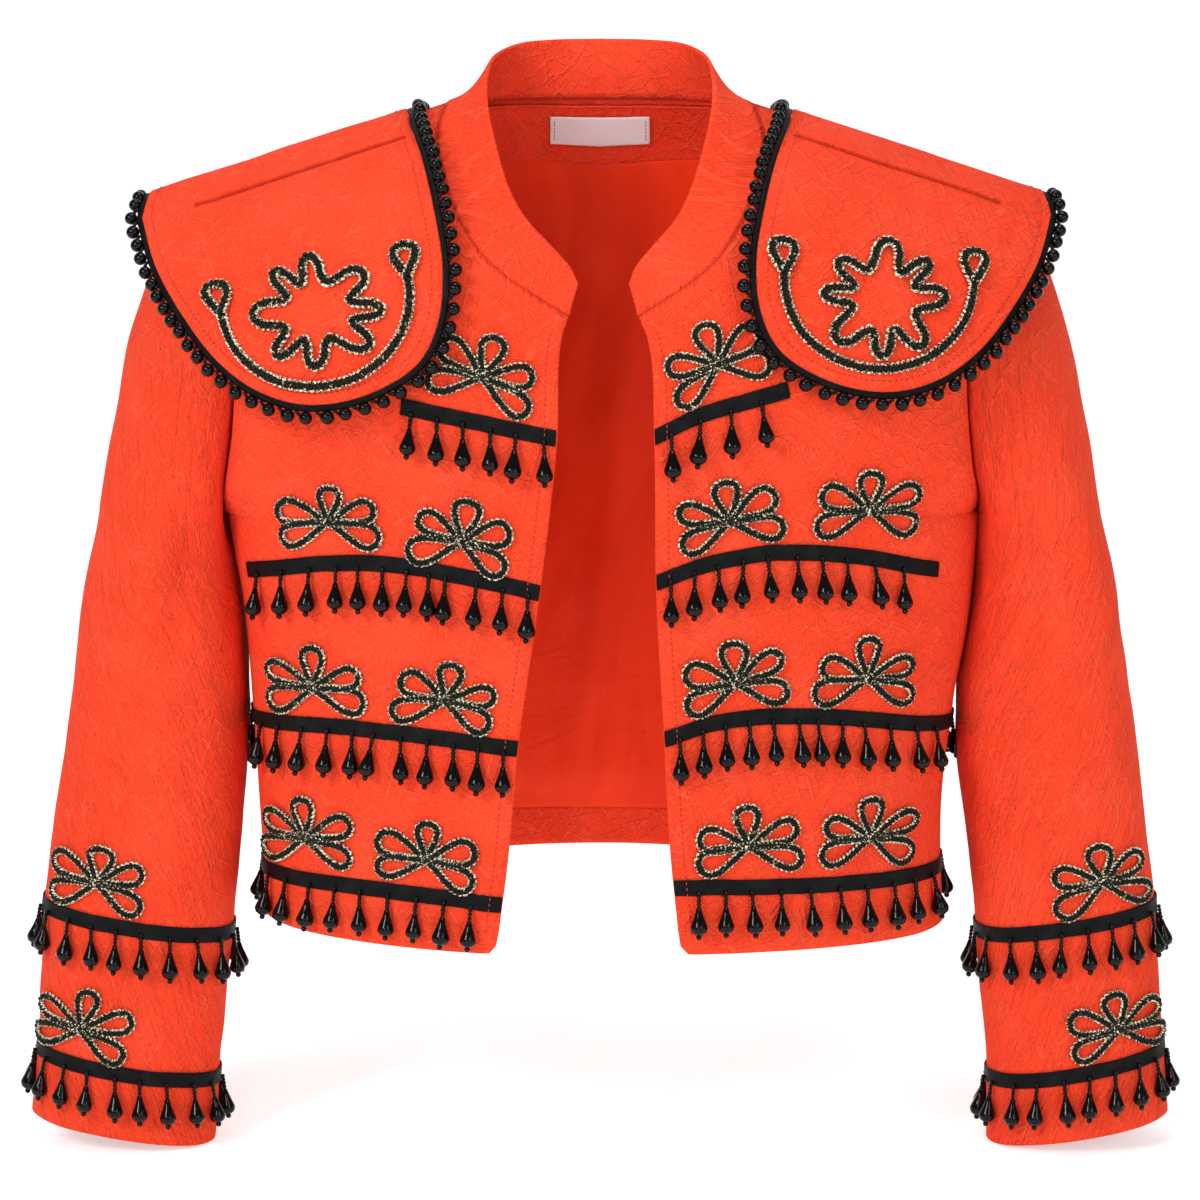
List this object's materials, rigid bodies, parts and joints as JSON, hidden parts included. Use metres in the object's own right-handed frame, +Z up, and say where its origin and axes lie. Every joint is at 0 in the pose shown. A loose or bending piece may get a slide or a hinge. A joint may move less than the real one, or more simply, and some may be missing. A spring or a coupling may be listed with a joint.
{
  "type": "matador jacket",
  "caption": "Cropped open-fronted bullfighter-style jacket with a stand collar, rounded shoulder caps, braid rosettes and tapes hung with bead drops, held in its worn form",
  "frame": {"origin": "the point between the shoulders where the wearer carries the jacket, level with the shoulder seams at the neck", "axes": "+Z up, the open front faces -Y, +X is the wearer's left"},
  "size_m": [0.7066, 0.2497, 0.6637],
  "materials": {
    "shell": "matte coral red crinkled crepe with a fine uneven weave",
    "lining": "smooth satin lining in a darker red, softly creased",
    "tape": "black ribbed ribbon with a low satin sheen",
    "beads": "glossy black beads and teardrops on seed-bead stalks",
    "braid": "dark plaited cord edged with a pale gold thread",
    "label": "bare off-white woven label"
  },
  "bodies": {
    "root": {"front_right": "shell", "sleeve_right": "shell", "front_left": "shell", "sleeve_left": "shell", "back": "shell", "collar": "shell", "epaulette_right_front": "shell", "epaulette_right_back": "shell", "epaulette_binding_right": "tape", "epaulette_beads_right": "beads", "star_right": "braid", "arc_right": "braid", "epaulette_left_front": "shell", "epaulette_left_back": "shell", "epaulette_binding_left": "tape", "epaulette_beads_left": "beads", "star_left": "braid", "arc_left": "braid", "rosette_right_row1": "braid", "rosette_right_row2_outer": "braid", "rosette_right_row2_inner": "braid", "rosette_right_row3_outer": "braid", "rosette_right_row3_inner": "braid", "rosette_right_row4_outer": "braid", "rosette_right_row4_inner": "braid", "rosette_sleeve_right_upper": "braid", "rosette_sleeve_right_lower": "braid", "rosette_left_row1": "braid", "rosette_left_row2_outer": "braid", "rosette_left_row2_inner": "braid", "rosette_left_row3_outer": "braid", "rosette_left_row3_inner": "braid", "rosette_left_row4_outer": "braid", "rosette_left_row4_inner": "braid", "rosette_sleeve_left_upper": "braid", "rosette_sleeve_left_lower": "braid", "tape_row1_right": "tape", "fringe_row1_right": "beads", "tape_row1_left": "tape", "fringe_row1_left": "beads", "tape_row2_right": "tape", "fringe_row2_right": "beads", "tape_row2_left": "tape", "fringe_row2_left": "beads", "tape_row3": "tape", "fringe_row3": "beads", "tape_row4": "tape", "fringe_row4": "beads", "tape_sleeve_right_upper": "tape", "fringe_sleeve_right_upper": "beads", "tape_sleeve_right_lower": "tape", "fringe_sleeve_right_lower": "beads", "tape_sleeve_left_upper": "tape", "fringe_sleeve_left_upper": "beads", "tape_sleeve_left_lower": "tape", "fringe_sleeve_left_lower": "beads", "hem_facing": "shell", "back_lining": "lining", "neck_facing": "shell", "label": "label"}
  },
  "joints": []
}
